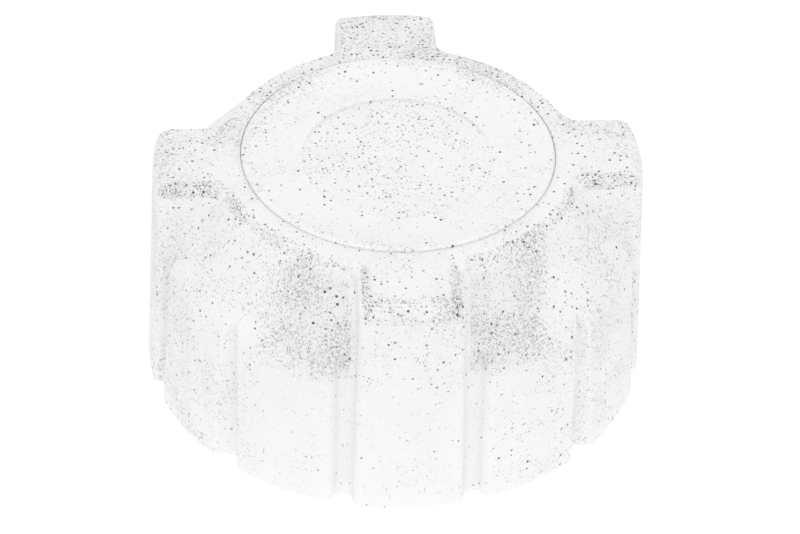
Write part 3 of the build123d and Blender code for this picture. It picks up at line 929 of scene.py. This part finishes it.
def makeCoilTree():
    tree, given, result = newGroup(
        "coilSpring", "GeometryNodeTree",
        sizeSockets(("Coil Radius", "Wire Radius", "Turns", "End Turns", "End Pitch",
                     "Ground Share", "Bottom", "Top"), ("Wire Sides", "Steps Per Turn")),
        [("Geometry", form)])
    spiral = addNode(tree, "GeometryNodeCurveSpiral", {
        "Resolution": given["Steps Per Turn"], "Rotations": given["Turns"], "Height": 0.0,
        "Start Radius": given["Coil Radius"], "End Radius": given["Coil Radius"]})
    along = addNode(tree, "GeometryNodeSplineParameter").outputs
    turn = math1(tree, "MULTIPLY", along["Factor"], given["Turns"])
    sink = math1(tree, "MULTIPLY", given["Wire Radius"], given["Ground Share"])
    openTurns = math1(tree, "MULTIPLY_ADD", given["End Turns"], -2.0, given["Turns"])
    span = math1(tree, "SUBTRACT", given["Top"], given["Bottom"])
    endRise = math1(tree, "MULTIPLY", given["End Turns"], given["End Pitch"])
    closedRise = math1(tree, "MULTIPLY_ADD", endRise, 2.0, math1(tree, "MULTIPLY", sink, 2.0))
    openPitch = math1(tree, "DIVIDE", math1(tree, "SUBTRACT", span, closedRise), openTurns)
    first = math1(tree, "MINIMUM", turn, given["End Turns"])
    pastFirst = math1(tree, "MAXIMUM", math1(tree, "SUBTRACT", turn, given["End Turns"]), 0.0)
    middle = math1(tree, "MINIMUM", pastFirst, openTurns)
    last = math1(tree, "SUBTRACT", math1(tree, "SUBTRACT", turn, first), middle)
    closed = math1(tree, "MULTIPLY", math1(tree, "ADD", first, last), given["End Pitch"])
    height = math1(tree, "ADD", math1(tree, "ADD", given["Bottom"], sink),
                   math1(tree, "MULTIPLY_ADD", middle, openPitch, closed))
    wound = moved(tree, spiral.outputs[0], joined(tree, z=height))
    path, lengthAlong = capture(tree, upright(tree, wound), "FLOAT", "Length", along["Length"])
    wire = addNode(tree, "GeometryNodeCurvePrimitiveCircle", {
        "Resolution": given["Wire Sides"], "Radius": given["Wire Radius"]})
    position = addNode(tree, "GeometryNodeInputPosition").outputs[0]
    section, placeAround = capture(tree, wire.outputs[0], "VECTOR", "Around", position)
    swept = addNode(tree, "GeometryNodeCurveToMesh", {
        "Curve": path, "Profile Curve": section, "Fill Caps": True})
    sideX, sideY, _ = separated(tree, placeAround)
    marked = addNode(tree, "GeometryNodeStoreNamedAttribute", {
        "Geometry": swept.outputs[0], "Name": "wireGrain",
        "Value": joined(tree, sideX, sideY, lengthAlong)},
        data_type="FLOAT_VECTOR", domain="POINT")
    x, y, z = separated(tree, position)
    kept = math1(tree, "MINIMUM", math1(tree, "MAXIMUM", z, given["Bottom"]), given["Top"])
    ground = addNode(tree, "GeometryNodeSetPosition", {
        "Geometry": marked.outputs[0], "Position": joined(tree, x, y, kept)})
    endTree(tree, result, ground.outputs[0], given["Material"])
    return tree


def nodeSize(name):
    points = [vertex.co for vertex in nodes[name].data.vertices]
    radii = [math.hypot(point.x, point.y) for point in points]
    heights = [point.z for point in points]
    return min(radii), max(radii), min(heights), max(heights)


def makeSpring(node, shape, body):
    inner, outer, bottom, top = nodeSize(node)
    spring = growPiece(node + "_wound", coilTree, {
        **shape, "Coil Radius": (inner + outer) / 2, "Wire Radius": (outer - inner) / 2,
        "Bottom": bottom, "Top": top, "Material": materials["spring_steel"]})
    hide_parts(node)
    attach(spring, body)
    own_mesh(spring)


makeThread()
coilTree = makeCoilTree()
makeSpring("main_spring", mainSpring, "insert")
makeSpring("vacuum_spring", vacuumSpring, "pressure_valve")
print("thread and springs made")


# Rubber seals

ringSeals = {
    "bodies": {"neck_o_ring": "insert", "seat_o_ring": "insert"},
    "flash": 0.04 * mm,  # height of the moulding line
    "flashWidth": 0.05,  # sine of half the angle that it takes
    "sides": 56,
    "steps": 200,
}

flatSeals = {
    "bodies": {"neck_gasket": "insert", "pressure_seal": "pressure_valve",
               "vacuum_seal": "vacuum_valve"},
    "corner": 0.18 * mm,
    "bead": {"neck_gasket": 0.3 * mm},  # drop of the bead below the gasket
    "beadFoot": 3,  # half the bead's width at its root, in drops
    "steps": 200,
}


def ringOutline(node):
    inner, outer, bottom, top = nodeSize(node)
    flash = ringSeals["flash"]
    middle, height = (inner + outer) / 2, (bottom + top) / 2
    section = (top - bottom) / 2 - flash
    outline = []
    for side in range(ringSeals["sides"]):
        turn = math.tau * side / ringSeals["sides"]
        reach = section + flash * math.exp(-(math.sin(turn) / ringSeals["flashWidth"]) ** 2)
        outline.append((middle + reach * math.cos(turn), height + reach * math.sin(turn)))
    return outline


def flatOutline(node):
    inner, outer, bottom, top = nodeSize(node)
    drop = flatSeals["bead"].get(node, 0.0)
    middle, foot, underside = (inner + outer) / 2, flatSeals["beadFoot"] * drop, bottom + drop
    bead = [(middle - foot, underside), (middle - drop, bottom), (middle + drop, bottom),
            (middle + foot, underside)] if drop else []
    corners = [(inner, underside), *bead, (outer, underside), (outer, top), (inner, top)]
    return [point for corner in softCorners(corners, flatSeals["corner"]) for point in corner]


def makeSeals():
    for shape, outlineOf in ((ringSeals, ringOutline), (flatSeals, flatOutline)):
        for node, body in shape["bodies"].items():
            outline = outlineOf(node)
            seal = turnOutline(node + "_moulded", outline + outline[:1], shape["steps"],
                               "seal_rubber")
            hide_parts(node)
            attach(seal, body)


makeSeals()
print("seals made")


# Studio

studio = {
    "floorSize": 4.0,
    "floorColour": (0.8, 0.8, 0.8, 1),
    "floorLift": 0.27,  # for the camera alone: the floor reads white and keeps its shadow
    "underReach": 0.045,  # metres, nearer than this the floor lets light up into the cap's mouth
    "worldColour": (1, 1, 1, 1),
    "worldLevel": 0.965,
    "keyPlace": (-0.1, -1.35, 0.8),
    "keySize": 1.6,
    "keyPower": 3.6,
}


def seenRay(tree):
    path = addNode(tree, "ShaderNodeLightPath").outputs
    mirrored = math1(tree, "MAXIMUM", path["Is Glossy Ray"], path["Is Transmission Ray"])
    return math1(tree, "MAXIMUM", path["Is Camera Ray"], mirrored)


def makeFloor():
    bpy.ops.mesh.primitive_plane_add(size=studio["floorSize"])
    floor = bpy.context.object
    floor.name = "floor"
    material = bpy.data.materials.new("floorPaper")
    material.use_nodes = True
    tree = material.node_tree
    tree.nodes.clear()
    paper = addNode(tree, "ShaderNodeBsdfDiffuse", {"Color": studio["floorColour"]})
    lift = addNode(tree, "ShaderNodeEmission", {
        "Strength": math1(tree, "MULTIPLY", seenRay(tree), studio["floorLift"])})
    top = addNode(tree, "ShaderNodeAddShader")
    tree.links.new(paper.outputs[0], top.inputs[0])
    tree.links.new(lift.outputs[0], top.inputs[1])
    path = addNode(tree, "ShaderNodeLightPath").outputs
    near = math1(tree, "LESS_THAN", path["Ray Length"], studio["underReach"])
    lit = math1(tree, "MULTIPLY", path["Is Diffuse Ray"], near)
    seenFromBelow = addNode(tree, "ShaderNodeNewGeometry").outputs["Backfacing"]
    under = addNode(tree, "ShaderNodeBsdfTransparent")
    both = addNode(tree, "ShaderNodeMixShader")
    tree.links.new(math1(tree, "MAXIMUM", lit, seenFromBelow), both.inputs[0])
    tree.links.new(top.outputs[0], both.inputs[1])
    tree.links.new(under.outputs[0], both.inputs[2])
    output = addNode(tree, "ShaderNodeOutputMaterial")
    tree.links.new(both.outputs[0], output.inputs["Surface"])
    floor.data.materials.append(material)


def makeWorld():
    world = bpy.data.worlds.new("softWorld")
    bpy.context.scene.world = world
    world.use_nodes = True
    tree = world.node_tree
    background = tree.nodes["Background"]
    background.inputs["Color"].default_value = studio["worldColour"]
    strength = mapRange(tree, seenRay(tree), 0.0, 1.0, studio["worldLevel"], 1.0)
    tree.links.new(strength, background.inputs["Strength"])


def makeKeyLight():
    lamp = bpy.data.lights.new("softbox", "AREA")
    lamp.size = studio["keySize"]
    lamp.energy = studio["keyPower"]
    key = bpy.data.objects.new("softbox", lamp)
    bpy.context.scene.collection.objects.link(key)
    key.location = studio["keyPlace"]
    key.rotation_mode = "QUATERNION"
    key.rotation_quaternion = (-Vector(studio["keyPlace"])).to_track_quat("-Z", "Y")


photoCamera = {
    "distance": 0.554,  # metres from the cap's axis at the aim height
    "elevation": 39.24,  # degrees above the horizon
    "azimuth": -4.445,  # degrees, the camera stands a little to the left of the front lug
    "roll": 1.527,  # degrees
    "aimHeight": 0.017,  # metres
    "lens": 182.4,  # millimetres
    "shift": (0.0055, -0.0255),
}


def makeCamera():
    camera = bpy.data.objects.new("photoCamera", bpy.data.cameras.new("photoCamera"))
    bpy.context.scene.collection.objects.link(camera)
    up, turn = math.radians(photoCamera["elevation"]), math.radians(photoCamera["azimuth"])
    back = Vector((math.sin(turn) * math.cos(up), -math.cos(turn) * math.cos(up), math.sin(up)))
    aim = Vector((0, 0, photoCamera["aimHeight"]))
    camera.location = aim + back * photoCamera["distance"]
    camera.rotation_mode = "QUATERNION"
    rolled = Quaternion((0, 0, 1), math.radians(photoCamera["roll"]))
    camera.rotation_quaternion = (-back).to_track_quat("-Z", "Y") @ rolled
    camera.data.lens = photoCamera["lens"]
    camera.data.shift_x, camera.data.shift_y = photoCamera["shift"]
    bpy.context.scene.camera = camera


makeFloor()
makeWorld()
makeKeyLight()
makeCamera()
bpy.context.scene.view_settings.view_transform = "Standard"
print("studio set")
